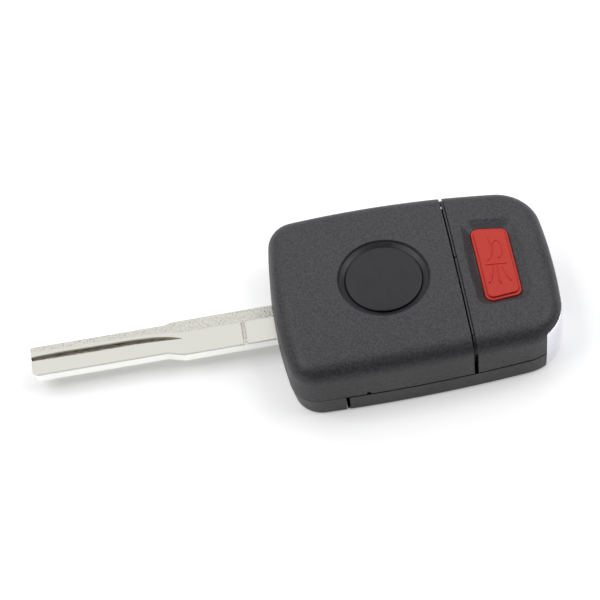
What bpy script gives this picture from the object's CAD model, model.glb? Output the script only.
# %% [markdown]
# # A remote car key on a white table
# The key lies with its main buttons down, so we look at its back: a round badge recess,
# one red panic button, and a steel blade to the left. The solid pieces come ready made from
# the CAD model. Blender adds what CAD leaves out: plastic grain, milled steel, the sign on
# the red button, and light. Everything is in metres, and +X runs from the blade to the end
# with the bright band.

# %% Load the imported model
import math

import bmesh
import bpy
from mathutils import Matrix, Vector
from mathutils.bvhtree import BVHTree


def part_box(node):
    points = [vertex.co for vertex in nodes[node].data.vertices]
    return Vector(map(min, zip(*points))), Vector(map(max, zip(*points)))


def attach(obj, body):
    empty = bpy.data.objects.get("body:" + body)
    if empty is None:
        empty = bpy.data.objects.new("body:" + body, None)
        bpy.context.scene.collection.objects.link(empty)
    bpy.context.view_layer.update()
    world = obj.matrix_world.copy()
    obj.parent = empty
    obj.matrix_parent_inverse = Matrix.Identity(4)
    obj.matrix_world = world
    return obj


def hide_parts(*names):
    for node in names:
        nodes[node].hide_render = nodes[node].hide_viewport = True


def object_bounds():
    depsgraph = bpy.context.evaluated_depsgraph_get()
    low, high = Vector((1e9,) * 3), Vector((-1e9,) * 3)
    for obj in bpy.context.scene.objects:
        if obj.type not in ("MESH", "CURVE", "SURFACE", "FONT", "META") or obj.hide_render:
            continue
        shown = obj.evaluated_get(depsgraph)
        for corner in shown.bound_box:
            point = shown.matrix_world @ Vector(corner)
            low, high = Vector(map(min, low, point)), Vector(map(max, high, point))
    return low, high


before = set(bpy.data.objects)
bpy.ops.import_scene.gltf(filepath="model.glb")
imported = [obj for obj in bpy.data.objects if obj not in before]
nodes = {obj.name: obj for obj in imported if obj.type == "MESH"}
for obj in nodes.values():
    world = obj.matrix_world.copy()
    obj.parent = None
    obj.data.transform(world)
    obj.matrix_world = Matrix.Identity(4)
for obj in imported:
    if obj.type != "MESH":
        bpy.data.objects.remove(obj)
cad_low, cad_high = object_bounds()
MM = 0.001
print("pieces in the model:", len(nodes))
print("size in mm:", [round(side / MM, 1) for side in cad_high - cad_low])

# %% [markdown]
# ## Camera
# A product photo of a small thing is taken with a long lens from some way off, so that the
# far end isn't much smaller than the near one. We could turn the camera by hand until it
# looks right. It is surer to write down where it stands: how far round, how far up, how far
# off, and the small tilt that makes the key climb to the right. Three directions at right
# angles, back, right and up, then make the camera's matrix.

# %% Place the camera
def put_in_scene(name, data):
    """Makes an object of a camera, mesh, curve or lamp and puts it in the scene."""
    thing = bpy.data.objects.new(name, data)
    bpy.context.scene.collection.objects.link(thing)
    return thing


camera_turn = math.radians(-1.85)
camera_height = math.radians(55.9)
camera_tilt = math.radians(-8.16)
camera_distance = 0.409
look_at = Vector((-23.72, -2.34, 15.86)) * MM

back = Vector((
    math.sin(camera_turn) * math.cos(camera_height),
    -math.cos(camera_turn) * math.cos(camera_height),
    math.sin(camera_height),
))
level_right = Vector((math.cos(camera_turn), math.sin(camera_turn), 0))
level_up = back.cross(level_right)
right = math.cos(camera_tilt) * level_right + math.sin(camera_tilt) * level_up
up = math.cos(camera_tilt) * level_up - math.sin(camera_tilt) * level_right

camera_data = bpy.data.cameras.new("product_camera")
camera_data.sensor_width = 36
camera_data.lens = 120.26
camera_data.clip_start = 0.01
camera = put_in_scene("product_camera", camera_data)
camera_axes = Matrix((right, up, back)).transposed().to_4x4()
camera.matrix_world = Matrix.Translation(look_at + back * camera_distance) @ camera_axes
bpy.context.scene.camera = camera
bpy.context.scene.view_settings.view_transform = "Standard"
print("camera stands", round(camera_distance / MM), "mm from the key")

# %% [markdown]
# ## A few words for writing materials
# A material is a small graph. Most of ours start from the same shader, so one helper makes
# it and sets the plain numbers straight on its sockets. A second one adds a node and joins
# it up in one line, and a third feeds the shader, which keeps each recipe short enough to
# read.

# %% Start a finish and feed its shader
def shader_of(material):
    """The Principled shader that every new material starts with."""
    return material.node_tree.nodes["Principled BSDF"]


def new_finish(name, colour, roughness, metallic=0.0, specular=0.5):
    """A material with plain numbers on its shader's sockets."""
    material = bpy.data.materials.new(name)
    material.use_nodes = True
    inputs = shader_of(material).inputs
    inputs["Base Color"].default_value = (*colour, 1)
    inputs["Roughness"].default_value = roughness
    inputs["Metallic"].default_value = metallic
    inputs["Specular IOR Level"].default_value = specular
    return material


def join(material, output, socket):
    """Joins an output to a socket."""
    material.node_tree.links.new(output, socket)


def feed(material, **outputs):
    """Joins outputs to the shader's sockets, by name."""
    for name, output in outputs.items():
        join(material, output, shader_of(material).inputs[name.replace("_", " ")])


# %% Add a node, do arithmetic, dress a piece
def add_node(material, kind, settings=None, slots=(), **inputs):
    """Adds a node. Its inputs, by name or in order, are numbers or other nodes' outputs."""
    node = material.node_tree.nodes.new(kind)
    for key, value in (settings or {}).items():
        setattr(node, key, value)
    named = [(node.inputs[key.replace("_", " ")], value) for key, value in inputs.items()]
    for socket, value in named + list(zip(node.inputs, slots)):
        if isinstance(value, bpy.types.NodeSocket):
            join(material, value, socket)
        else:
            socket.default_value = value
    return node


def maths(material, operation, *values):
    """One step of arithmetic."""
    return add_node(material, "ShaderNodeMath", {"operation": operation}, values).outputs[0]


def place_on_piece(material):
    """Where a point of the piece lies, in metres."""
    return add_node(material, "ShaderNodeTexCoord").outputs["Object"]


def dress(material, *names):
    """Puts a material on CAD pieces."""
    for name in names:
        mesh = nodes[name].data
        mesh.materials.clear()
        mesh.materials.append(material)
    print(material.name, "on", ", ".join(names))


# %% [markdown]
# ## Grain, bumps and worn edges
# Moulded plastic and milled steel differ mostly in how rough they are at the scale of a
# tenth of a millimetre. Noise gives that without any picture, and a bump turns it into
# light and shade. CAD edges are perfectly sharp, and real ones aren't, so a bevel node
# rounds them in the shading only. Where that rounded normal leans away from the true one,
# there is an edge, and that makes a free mask for wear.

# %% Grain and bumps
def speckle(material, size_mm, detail=2.0, stretch=(1, 1, 1)):
    """Noise from 0 to 1 whose blobs are about this many millimetres wide."""
    where = add_node(
        material, "ShaderNodeMapping", Vector=place_on_piece(material), Scale=stretch
    ).outputs[0]
    return add_node(
        material, "ShaderNodeTexNoise", Vector=where, Scale=1 / (size_mm * MM), Detail=detail
    ).outputs["Fac"]


def between(material, value, low, high, start=0.3, end=0.7):
    """Turns a value that runs from start to end into one that runs from low to high."""
    return add_node(
        material, "ShaderNodeMapRange", Value=value, From_Min=start, From_Max=end,
        To_Min=low, To_Max=high,
    ).outputs["Result"]


def emboss(material, height, depth_mm, under=None):
    """A bump of a given depth, on top of an earlier bump or rounded edge."""
    bump = add_node(material, "ShaderNodeBump", Height=height, Distance=depth_mm * MM)
    bump.inputs["Strength"].default_value = 1.0
    if under is not None:
        join(material, under, bump.inputs["Normal"])
    return bump.outputs["Normal"]


# %% Rounded edges, wear and mixed colours
def soft_edge(material, radius_mm):
    """Makes sharp edges catch the light as if they were rounded by this radius."""
    return add_node(
        material, "ShaderNodeBevel", {"samples": 6}, Radius=radius_mm * MM
    ).outputs["Normal"]


def edge_wear(material, rounded):
    """A mask that is 0 on flat faces and rises to 1 on edges."""
    on_edge, on_flat = 0.8, 0.99
    true_normal = add_node(material, "ShaderNodeNewGeometry").outputs["Normal"]
    agreement = add_node(
        material, "ShaderNodeVectorMath", {"operation": "DOT_PRODUCT"}, (rounded, true_normal)
    ).outputs["Value"]
    return between(material, agreement, 1.0, 0.0, start=on_edge, end=on_flat)


def blend_colours(material, mask, low_colour, high_colour):
    """The first colour where the mask is 0, the second where it is 1. Either may be an output."""
    mix = add_node(material, "ShaderNodeMix", {"data_type": "RGBA"}, (mask,))
    # A colour mix keeps its colours in sockets 6 and 7 and its result in output 2
    for socket, colour in ((mix.inputs[6], low_colour), (mix.inputs[7], high_colour)):
        if isinstance(colour, bpy.types.NodeSocket):
            join(material, colour, socket)
        else:
            socket.default_value = (*colour, 1)
    return mix.outputs[2]


# %% [markdown]
# ## The black plastic
# The shells are moulded in a tool whose walls are spark eroded, which leaves an even, sandy
# grain a little under half a millimetre wide. It spreads the reflection of the lamps, so
# the black looks dark grey from above, with lighter flecks on the tops of the grain. A
# picture of the grain would be one way. Noise with a very small depth is simpler and has no
# seams. Where hands and pockets rub, at the edges, the plastic is a shade lighter and
# smoother. Where the upper and the lower shell close on each other, both have a tiny
# groove, which shows as a dark line all round.

# %% Plastic recipe
def shade(colour, factor):
    """The same colour made lighter or darker, and never brighter than 1."""
    return [min(1, channel * factor) for channel in colour]


def parts_of(material, vector):
    """The X, Y and Z parts of a vector."""
    return add_node(material, "ShaderNodeSeparateXYZ", Vector=vector).outputs


def joint_groove(material, joint_z):
    """A mask that is 1 in a thin level line at this height and 0 away from it."""
    dark_reach, fade_reach = 0.13 * MM, 0.2 * MM
    point_z = parts_of(material, place_on_piece(material))["Z"]
    off_line = maths(material, "ABSOLUTE", maths(material, "SUBTRACT", point_z, joint_z))
    return between(material, off_line, 1.0, 0.0, start=dark_reach, end=fade_reach)


def grained_plastic(name, colour, roughness, grain_mm, depth_mm, mottle, groove_height=None):
    """Moulded plastic with an even grain, slightly rubbed edges and perhaps a dark joint line."""
    most_wear, rubbed_lighter, rubbed_smoother = 0.5, 1.6, 0.1
    groove_depth_mm, groove_black = 0.3, (0.002, 0.002, 0.002)
    uneven = 0.03

    material = new_finish(name, colour, roughness)
    rounded = soft_edge(material, radius_mm=0.15)
    relief = emboss(material, speckle(material, grain_mm, detail=2.5), depth_mm, rounded)
    fleck = speckle(material, grain_mm, detail=1.0)
    fleck = between(material, fleck, 0.0, 1.0, start=0.35, end=0.65)
    tint = blend_colours(material, fleck, shade(colour, 1 - mottle), shade(colour, 1 + mottle))
    wear = maths(material, "MULTIPLY", edge_wear(material, rounded), most_wear)
    tint = blend_colours(material, wear, tint, shade(colour, rubbed_lighter))
    if groove_height is not None:
        groove = joint_groove(material, groove_height)
        relief = emboss(material, groove, -groove_depth_mm, relief)
        tint = blend_colours(material, groove, tint, groove_black)

    hands = speckle(material, size_mm=6.0)
    rough = between(material, hands, roughness - uneven, roughness + uneven)
    smoother = maths(material, "MULTIPLY", wear, rubbed_smoother)
    rough = maths(material, "SUBTRACT", rough, smoother)
    feed(material, Normal=relief, Base_Color=tint, Roughness=rough)
    return material


# %% Shell plastic and tray plastic
head_base_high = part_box("head_base")[1]
joint_height = head_base_high.z
print("the shells close at", round(joint_height / MM, 2), "mm")
shell_plastic = grained_plastic(
    "shell_plastic", (0.037, 0.037, 0.041), roughness=0.48,
    grain_mm=0.4, depth_mm=0.09, mottle=0.4, groove_height=joint_height,
)
tray_plastic = grained_plastic(
    "tray_plastic", (0.034, 0.034, 0.037), roughness=0.46,
    grain_mm=0.4, depth_mm=0.06, mottle=0.3, groove_height=joint_height,
)
dress(shell_plastic, "head_cover", "button_housing")
dress(tray_plastic, "lower_housing", "head_base")

# %% [markdown]
# ## The tongue in the lower joint
# The tray and the head's base stop under a millimetre apart, and through a straight gap we
# would see the white table. In the photo the gap is dark, most likely because a thin tongue
# at the tray's edge closes it from below, with a slanted front that lets the head slide on.
# Ours moves with the tray and stops short of the head. A cube gives the bar: we push its
# top front edge back for the slant, stretch it to size and bevel all its edges.

# %% Dark tongue at the tray's edge
def smooth_piece(name, shape, material):
    """Turns a finished shape into a smooth shaded piece and puts it in the scene."""
    for face in shape.faces:
        face.smooth = True
    mesh = bpy.data.meshes.new(name)
    shape.to_mesh(mesh)
    shape.free()
    mesh.materials.append(material)
    return put_in_scene(name, mesh)


def tongue_bar(name, low, high, slant, rounding, material):
    """A bar between two corners. Its top leans back by the slant at the low x end."""
    bar = bmesh.new()
    bmesh.ops.create_cube(bar, size=1)
    size, middle = high - low, (low + high) / 2
    for corner in bar.verts:
        if corner.co.x < 0 and corner.co.z > 0:
            corner.co.x += slant / size.x
        corner.co = [middle[i] + corner.co[i] * size[i] for i in range(3)]
    bmesh.ops.bevel(
        bar, geom=list(bar.edges), offset=rounding, segments=2, profile=0.5, affect="EDGES"
    )
    return smooth_piece(name, bar, material)


tray_low, tray_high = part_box("lower_housing")
gap_to_head = 0.12 * MM
gap_to_tray = 0.01 * MM
side_inset = 0.4 * MM
tongue_bottom, tongue_top = 0.3 * MM, 0.9 * MM
tongue = tongue_bar(
    "tray_tongue",
    Vector((head_base_high.x + gap_to_head, tray_low.y + side_inset, tongue_bottom)),
    Vector((tray_low.x - gap_to_tray, tray_high.y - side_inset, tongue_top)),
    slant=0.15 * MM, rounding=0.06 * MM, material=tray_plastic,
)
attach(tongue, "remote")
print("tongue", [round(side / MM, 2) for side in tongue.dimensions])

# %% [markdown]
# ## The badge disc
# The badge recess holds a plain disc in the same plastic, pressed smooth instead of
# grained, with the slight unevenness of a moulded face and a few fine scuffs. In the photo
# it lies higher than the CAD disc, in a shallow dish with a sloping rim and a thin dark gap
# round it. A disc and its dish are round, so we draw half of their section once, turn it
# round the middle line, and let the new piece stand for the CAD disc.

# %% Badge finish
darker, lighter = (0.007, 0.007, 0.01), (0.016, 0.016, 0.021)
badge_plastic = new_finish("badge_plastic", (0.011, 0.011, 0.015), roughness=0.46, specular=0.42)
rub = speckle(badge_plastic, size_mm=2.2, detail=3.0, stretch=(1, 0.5, 1))
scuffs = speckle(badge_plastic, size_mm=0.5, detail=4.0, stretch=(0.3, 1, 1))
relief = emboss(badge_plastic, rub, depth_mm=0.05, under=soft_edge(badge_plastic, radius_mm=0.2))
feed(
    badge_plastic,
    Normal=emboss(badge_plastic, scuffs, depth_mm=0.006, under=relief),
    Roughness=between(badge_plastic, rub, 0.36, 0.5),
    Base_Color=blend_colours(badge_plastic, between(badge_plastic, rub, 0, 1), darker, lighter),
)
dress(badge_plastic, "badge_blank")


# %% Turn a section into a round solid
def turned(name, section, middle, material, turns=160):
    """A solid turned round a vertical line from (radius, height) points, bottom to top."""
    lathe = bmesh.new()
    rings = []
    for radius, height in section:
        count = 1 if radius == 0 else turns
        ring = []
        for number in range(count):
            angle = 2 * math.pi * number / count
            x = middle.x + radius * math.cos(angle)
            y = middle.y + radius * math.sin(angle)
            ring.append(lathe.verts.new((x, y, height)))
        rings.append(ring)
    # A ring of one point is the middle of a disc, so its doubled corners are dropped
    for below, above in zip(rings, rings[1:]):
        for number in range(turns):
            after = (number + 1) % turns
            corners = [below[number % len(below)], below[after % len(below)],
                       above[after % len(above)], above[number % len(above)]]
            lathe.faces.new(list(dict.fromkeys(corners)))
    bmesh.ops.recalc_face_normals(lathe, faces=lathe.faces)
    sharp_turn = math.radians(25)
    for edge in lathe.edges:
        edge.smooth = edge.calc_face_angle(0) < sharp_turn
    return smooth_piece(name, lathe, material)


# %% Badge disc in its dish
badge_low, badge_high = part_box("badge_blank")
badge_middle = (badge_low + badge_high) / 2
crown_top = badge_high.z + 2.7 * MM
disc_radius = 7.7
disc_top, dome_drop = -0.62, 0.2

# Points in millimetres: how far from the middle line, how far from the crown's top
under_crown = [
    (9.2, -0.72), (9.12, -0.68),    # rim of the dish
    (8.06, -1.22),                  # foot of its slope
    (8.04, -1.5), (7.92, -1.5),     # gap round the disc
    (7.9, -0.92), (7.84, -0.86),    # rounded edge of the disc
]
for radius in (disc_radius, 6.4, 5, 3.5, 2, 1, 0):
    under_crown.append((radius, disc_top - dome_drop * (radius / disc_radius) ** 2))

section = [(0, badge_low.z), (disc_radius * MM, badge_low.z)]
section += [(radius * MM, crown_top + height * MM) for radius, height in under_crown]
badge_disc = turned("badge_disc", section, badge_middle, badge_plastic)
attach(badge_disc, "key_head")
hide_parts("badge_blank")
print("badge disc", len(badge_disc.data.polygons), "faces")

# %% [markdown]
# ## The red button
# The button is moulded in red right through. Its top is almost smooth, with a faint
# mottle, and its edges catch the light.

# %% Red plastic
moulded_red, edge_red = (0.55, 0.025, 0.011), (0.6, 0.015, 0.006)
panic_red = new_finish("panic_red", moulded_red, roughness=0.45, specular=0.4)
rounded = soft_edge(panic_red, radius_mm=0.15)
mottle = speckle(panic_red, size_mm=0.35)
feed(
    panic_red,
    Normal=emboss(panic_red, mottle, depth_mm=0.012, under=rounded),
    Roughness=between(panic_red, mottle, 0.4, 0.5),
    Base_Color=blend_colours(panic_red, edge_wear(panic_red, rounded), moulded_red, edge_red),
)
dress(panic_red, "panic_button")

# %% [markdown]
# ## The horn sign
# A sign on such a button is part of its mould: thin raised strokes. We could cut them into
# the mesh, but the CAD piece stays as it is, so each stroke is a curve with a round
# profile, sunk half way into the top. A bent horn stands over a bar, and three rays below it
# stand for the sound. Each ray ends in a small round dot. The button's top is gently
# domed, so we drop a line onto it at each point and read off the height.

# %% Red of the strokes
sign_red = new_finish("sign_red", (0.62, 0.012, 0.006), roughness=0.42)
mottle = speckle(sign_red, size_mm=0.25)
feed(
    sign_red,
    Normal=emboss(sign_red, mottle, depth_mm=0.01),
    Roughness=between(sign_red, mottle, 0.36, 0.48),
)
print(sign_red.name, "has", len(sign_red.node_tree.nodes), "nodes")

# %% One raised stroke on the red button
button_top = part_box("panic_button")[1].z
button_skin = BVHTree.FromPolygons(
    [corner.co for corner in nodes["panic_button"].data.vertices],
    [face.vertices for face in nodes["panic_button"].data.polygons],
)
stroke_width_mm = 0.28
dot_size = 1.6


def pad_top(x, y):
    """The height of the button's domed top at a point."""
    above = Vector((x, y, 2 * button_top))
    return button_skin.ray_cast(above, Vector((0, 0, -1)))[0].z


def raised_stroke(name, points, dot=False):
    """One smooth stroke through points given in millimetres, half sunk into the button."""
    curve = bpy.data.curves.new(name, "CURVE")
    curve.dimensions = "3D"
    curve.bevel_depth = stroke_width_mm / 2 * MM
    curve.bevel_resolution = 3
    curve.use_fill_caps = True
    curve.materials.append(sign_red)
    spline = curve.splines.new("BEZIER")
    spline.bezier_points.add(len(points) - 1)
    for handle, (x, y) in zip(spline.bezier_points, points):
        handle.co = (x * MM, y * MM, pad_top(x * MM, y * MM))
        handle.handle_left_type = "AUTO"
        handle.handle_right_type = "AUTO"
    if dot:
        spline.bezier_points[-1].radius = dot_size
    stroke = put_in_scene(name, curve)
    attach(stroke, "panic")


# %% Horn, bar and rays
raised_stroke("horn_outer", [
    (16.9, 6.08), (17.08, 4.9), (17.16, 3.65), (16.95, 2.25), (16.35, 0.94), (15.63, 0.28),
])
raised_stroke("horn_loop", [
    (17.07, 2.02), (17.36, 3.81), (17.85, 4.95), (18.49, 5.23), (19.01, 4.5), (19.16, 3.23),
    (19.08, 2.01), (18.53, 1.0), (17.81, 0.74),
])
raised_stroke("horn_bar", [(15.11, -0.63), (19.48, -0.83)])
raised_stroke("ray_left", [(16.59, -1.15), (15.98, -3.25), (15.11, -5.09)], dot=True)
raised_stroke("ray_middle", [(17.4, -1.21), (17.26, -3.52), (17.25, -5.53)], dot=True)
raised_stroke("ray_right", [(18.3, -1.3), (18.73, -3.22), (19.48, -5.19)], dot=True)
print("button top under the bar:", round(pad_top(17 * MM, 0) / MM, 2), "mm")

# %% [markdown]
# ## The bright band
# The band round the end is plastic with a mirror plating. A mirror needs no colour of its
# own: it shows the white table. The plating follows the plastic below it, so a very faint
# waviness keeps it from looking like glass.

# %% Plated trim
trim_chrome = new_finish("trim_chrome", (0.79, 0.79, 0.85), roughness=0.1, metallic=1.0)
wave = speckle(trim_chrome, size_mm=4.0, detail=1.0)
fingerprints = speckle(trim_chrome, size_mm=1.5, detail=4.0)
rounded = soft_edge(trim_chrome, radius_mm=0.3)
feed(
    trim_chrome,
    Normal=emboss(trim_chrome, wave, depth_mm=0.02, under=rounded),
    Roughness=between(trim_chrome, fingerprints, 0.07, 0.16),
)
dress(trim_chrome, "end_trim")

# %% [markdown]
# ## The blade
# The blade is nickel plated steel. Its flat faces are ground smooth along their length. The
# strip along its back edge is milled a third of a millimetre lower, and the cutter left it
# rough and glittering. The track is deeper still, and dirt turns its walls brown. All three
# are parallel with the flat face, so a point's depth below that face and its distance from
# the middle line tell which one it lies on. The narrow sides are rubbed bright and their
# bevels are dull, and how level the surface is tells those. No painting is needed.

# %% Which part of the blade is this
nickel = (0.61, 0.605, 0.55)
blade_steel = new_finish("blade_steel", nickel, roughness=0.3, metallic=1.0)


def steel(operation, *values):
    """One step of arithmetic in the blade's steel."""
    return maths(blade_steel, operation, *values)


blade_low, blade_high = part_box("key_blade")
blade_middle = (blade_low.z + blade_high.z) / 2
blade_half = (blade_high.z - blade_low.z) / 2
print("blade is", round(2 * blade_half / MM, 2), "mm thick")

point = parts_of(blade_steel, place_on_piece(blade_steel))
from_line = steel("ABSOLUTE", point["Y"])
off_middle = steel("ABSOLUTE", steel("SUBTRACT", point["Z"], blade_middle))
below_face = steel("SUBTRACT", blade_half, off_middle)
facing = add_node(blade_steel, "ShaderNodeNewGeometry").outputs["True Normal"]
levelness = steel("ABSOLUTE", parts_of(blade_steel, facing)["Z"])

# %% Milled strip, track, sides and bevels
milled_depth, floor_depth = 0.25 * MM, 1.0 * MM
wall_start, wall_dark = 0.38 * MM, 0.5 * MM
track_reach = 2.2 * MM
level_from, bevel_from, side_below = 0.7, 0.5, 0.95

is_low = steel("GREATER_THAN", below_face, milled_depth)
is_milled = steel("MULTIPLY", is_low, steel("GREATER_THAN", levelness, level_from))
in_track = steel("LESS_THAN", from_line, track_reach)
track_wall = between(blade_steel, below_face, 0.0, 1.0, start=wall_start, end=wall_dark)
track_wall = steel("MULTIPLY", track_wall, in_track)
track_floor = steel("MULTIPLY", steel("GREATER_THAN", below_face, floor_depth), in_track)
is_side = steel("LESS_THAN", levelness, side_below)
is_bevel = steel("MULTIPLY", is_side, steel("GREATER_THAN", levelness, bevel_from))
print("milled over", round(milled_depth / MM, 2), "mm deep, track over", round(floor_depth / MM, 2))

# %% Blade steel
dull_bevel = 0.5
glitter = speckle(blade_steel, size_mm=0.34, detail=3.0, stretch=(1, 0.7, 1))
brushed = speckle(blade_steel, size_mm=0.12, stretch=(0.04, 1, 1))
rounded = soft_edge(blade_steel, radius_mm=0.05)
relief = emboss(blade_steel, brushed, depth_mm=0.003, under=rounded)
pitting = steel("MULTIPLY", glitter, is_milled)
rough = between(blade_steel, is_milled, 0.28, 0.42, start=0, end=1)
feed(
    blade_steel,
    Normal=emboss(blade_steel, pitting, depth_mm=0.16, under=relief),
    Roughness=steel("ADD", rough, steel("MULTIPLY", is_bevel, dull_bevel)),
)
print("blade steel has", len(blade_steel.node_tree.nodes), "nodes before the dirt")

# %% Dirt in the track, in corners and between the glitter
rubbed_bright, tarnish = (0.95, 0.95, 0.91), (0.19, 0.115, 0.065)
floor_wiped = 0.6
corner_reach = 2.7 * MM

track_dirt = steel("SUBTRACT", track_wall, steel("MULTIPLY", track_floor, floor_wiped))
corners = edge_wear(blade_steel, soft_edge(blade_steel, radius_mm=0.8))
near_line = steel("LESS_THAN", from_line, corner_reach)
corner_dirt = steel("MULTIPLY", steel("MULTIPLY", corners, is_milled), near_line)
pits = between(blade_steel, glitter, 0.5, 0.0, start=0.3, end=0.5)
stains = speckle(blade_steel, size_mm=0.8, detail=3.0, stretch=(0.4, 1, 1))
stains = between(blade_steel, stains, 0.55, 1.0)
dirt = steel("MULTIPLY", steel("MAXIMUM", track_dirt, corner_dirt), stains)
dirt = steel("MAXIMUM", dirt, steel("MULTIPLY", pits, is_milled))
rubbed = steel("MAXIMUM", edge_wear(blade_steel, rounded), is_side)
polished = blend_colours(blade_steel, rubbed, nickel, rubbed_bright)
feed(blade_steel, Base_Color=blend_colours(blade_steel, dirt, polished, tarnish))
dress(blade_steel, "key_blade")

# %% [markdown]
# ## The small metal pieces
# Pins and screws are cut from drawn wire, so fine lines run along them. The cell is pressed
# sheet, and its contacts and the crystal's can are too. They share one recipe with other
# numbers.

# %% Pins, screws, cell and contacts
def drawn_metal(name, colour, roughness, line_mm):
    """A metal with fine drawn lines and brighter edges."""
    uneven, edge_lighter = 0.2, 1.2
    material = new_finish(name, colour, roughness, metallic=1.0)
    rounded = soft_edge(material, radius_mm=0.08)
    lines = speckle(material, line_mm, stretch=(1, 1, 0.1))
    edges = edge_wear(material, rounded)
    feed(
        material,
        Normal=emboss(material, lines, depth_mm=0.004, under=rounded),
        Roughness=between(material, lines, roughness * (1 - uneven), roughness * (1 + uneven)),
        Base_Color=blend_colours(material, edges, colour, shade(colour, edge_lighter)),
    )
    return material


dress(drawn_metal("pin_steel", (0.66, 0.66, 0.67), 0.25, 0.1), "ring_pin", "blade_pin")
dress(drawn_metal("screw_steel", (0.5, 0.5, 0.51), 0.35, 0.1), "head_screws", "housing_screws")
dress(drawn_metal("cell_steel", (0.74, 0.74, 0.75), 0.22, 0.3), "coin_cell")
dress(drawn_metal("contact_metal", (0.72, 0.62, 0.38), 0.3, 0.2), "cell_clip", "cell_spring")
dress(drawn_metal("can_metal", (0.7, 0.7, 0.72), 0.3, 0.2), "crystal_can")

# %% [markdown]
# ## What the shells hide
# The board and its parts show only when the head is slid off. They still get finishes of
# their own: green lacquer with copper tracks showing faintly through it, and black resin.
# A brick pattern stands for the tracks, with bricks 2.3 mm long and 1.1 mm wide. The resin,
# the switches and the rubber buttons take the black plastic's recipe with a finer grain.

# %% Circuit board
light_green, dark_green, copper_green = (0.02, 0.17, 0.07), (0.012, 0.12, 0.05), (0.05, 0.26, 0.1)
brick_scale = 220.0
board_laminate = new_finish("board_laminate", light_green, roughness=0.3)
tracks = add_node(
    board_laminate, "ShaderNodeTexBrick", Vector=place_on_piece(board_laminate),
    Scale=brick_scale, Color1=(*dark_green, 1), Color2=(*light_green, 1), Mortar=(*copper_green, 1),
)
lacquer = speckle(board_laminate, size_mm=0.8)
feed(
    board_laminate,
    Normal=emboss(board_laminate, tracks.outputs["Fac"], depth_mm=0.02),
    Roughness=between(board_laminate, lacquer, 0.24, 0.36),
    Base_Color=tracks.outputs["Color"],
)
dress(board_laminate, "circuit_board")

# %% Chips, switches and rubber
chip_resin = grained_plastic(
    "chip_resin", (0.02, 0.02, 0.02), roughness=0.6, grain_mm=0.15, depth_mm=0.01, mottle=0.1
)
switch_plastic = grained_plastic(
    "switch_plastic", (0.05, 0.05, 0.05), roughness=0.5, grain_mm=0.2, depth_mm=0.01, mottle=0.1
)
key_rubber = grained_plastic(
    "key_rubber", (0.02, 0.02, 0.021), roughness=0.7, grain_mm=0.25, depth_mm=0.012, mottle=0.1
)
dress(chip_resin, "controller_chip", "transponder_chip")
dress(switch_plastic, "panic_switch", "lock_switch", "unlock_switch", "trunk_switch")
dress(key_rubber, "lock_button", "unlock_button", "trunk_button")

# %% [markdown]
# ## The table
# Such a photo is taken on a white sweep. The table is plain white paint that takes the
# key's shadow. To the camera and in mirrors it also glows a little, so that it is evenly
# white out to its edges. That glow lights nothing.

# %% White table
table_reach = 3.0
under_key = 0.02 * MM
table_glow = 0.31

table_mesh = bpy.data.meshes.new("table")
table_mesh.from_pydata(
    [(x * table_reach, y * table_reach, 0) for x, y in ((-1, -1), (1, -1), (1, 1), (-1, 1))],
    [], [(0, 1, 2, 3)],
)
table = put_in_scene("table", table_mesh)
table.location.z = cad_low.z - under_key
white_table = new_finish("white_table", (0.9, 0.9, 0.9), roughness=0.9, specular=0.2)
rays = add_node(white_table, "ShaderNodeLightPath")
seen = maths(white_table, "ADD", rays.outputs["Is Camera Ray"], rays.outputs["Is Glossy Ray"])
glow = maths(white_table, "MULTIPLY", seen, table_glow)
glow = add_node(white_table, "ShaderNodeEmission", Strength=glow)
paint = shader_of(white_table)
both = add_node(white_table, "ShaderNodeAddShader", slots=(paint.outputs[0], glow.outputs[0]))
output = white_table.node_tree.nodes["Material Output"]
join(white_table, both.outputs[0], output.inputs["Surface"])
table_mesh.materials.append(white_table)
print("table lies at", round(table.location.z / MM, 2), "mm")

# %% [markdown]
# ## Light
# The blade's flat face is a mirror that shows the sky behind the key, so that part of the
# sky must be evenly bright and no brighter than white. A broad panel hangs there. The
# rolled front edge mirrors the side where we stand, and it is nearly black in such photos,
# so the sky fades towards us. What is still missing comes from two large lamps at the
# sides, whose reflections miss the camera. Large lamps keep the shadows short and soft.

# %% Lamps
def soft_lamp(name, place, width, depth, radiance):
    """An area lamp that looks at the key. Its power follows from how bright its face is."""
    data = bpy.data.lights.new(name, "AREA")
    data.shape = "RECTANGLE"
    data.size = width
    data.size_y = depth
    data.energy = radiance * math.pi * width * depth
    lamp = put_in_scene(name, data)
    lamp.location = place
    to_key = Vector((0, 0, 0)) - Vector(place)
    lamp.rotation_euler = to_key.to_track_quat("-Z", "Y").to_euler()
    print(name, round(data.energy, 2), "W")


soft_lamp("sky_panel", (0, 0.72, 0.8), width=1.6, depth=1.0, radiance=0.67)
soft_lamp("left_lamp", (-0.72, 0.04, 0.9), width=0.7, depth=0.7, radiance=3.1)
soft_lamp("right_lamp", (0.72, 0.04, 0.9), width=0.7, depth=0.7, radiance=2.8)

# %% Sky that fades towards the horizon and the viewer
full_strength = 0.58
dark_until, full_from = 0.3, 1.1
weight_behind = 0.7

studio = bpy.data.worlds.new("studio")
studio.use_nodes = True
direction = parts_of(studio, add_node(studio, "ShaderNodeTexCoord").outputs["Generated"])
behind = maths(studio, "MULTIPLY", direction["Y"], weight_behind)
away = maths(studio, "ADD", behind, direction["Z"])
strength = between(studio, away, 0.0, full_strength, start=dark_until, end=full_from)
background = studio.node_tree.nodes["Background"]
background.inputs["Color"].default_value = (0.96, 0.97, 1, 1)
join(studio, strength, background.inputs["Strength"])
bpy.context.scene.world = studio
print("the sky's strength goes up to", full_strength)
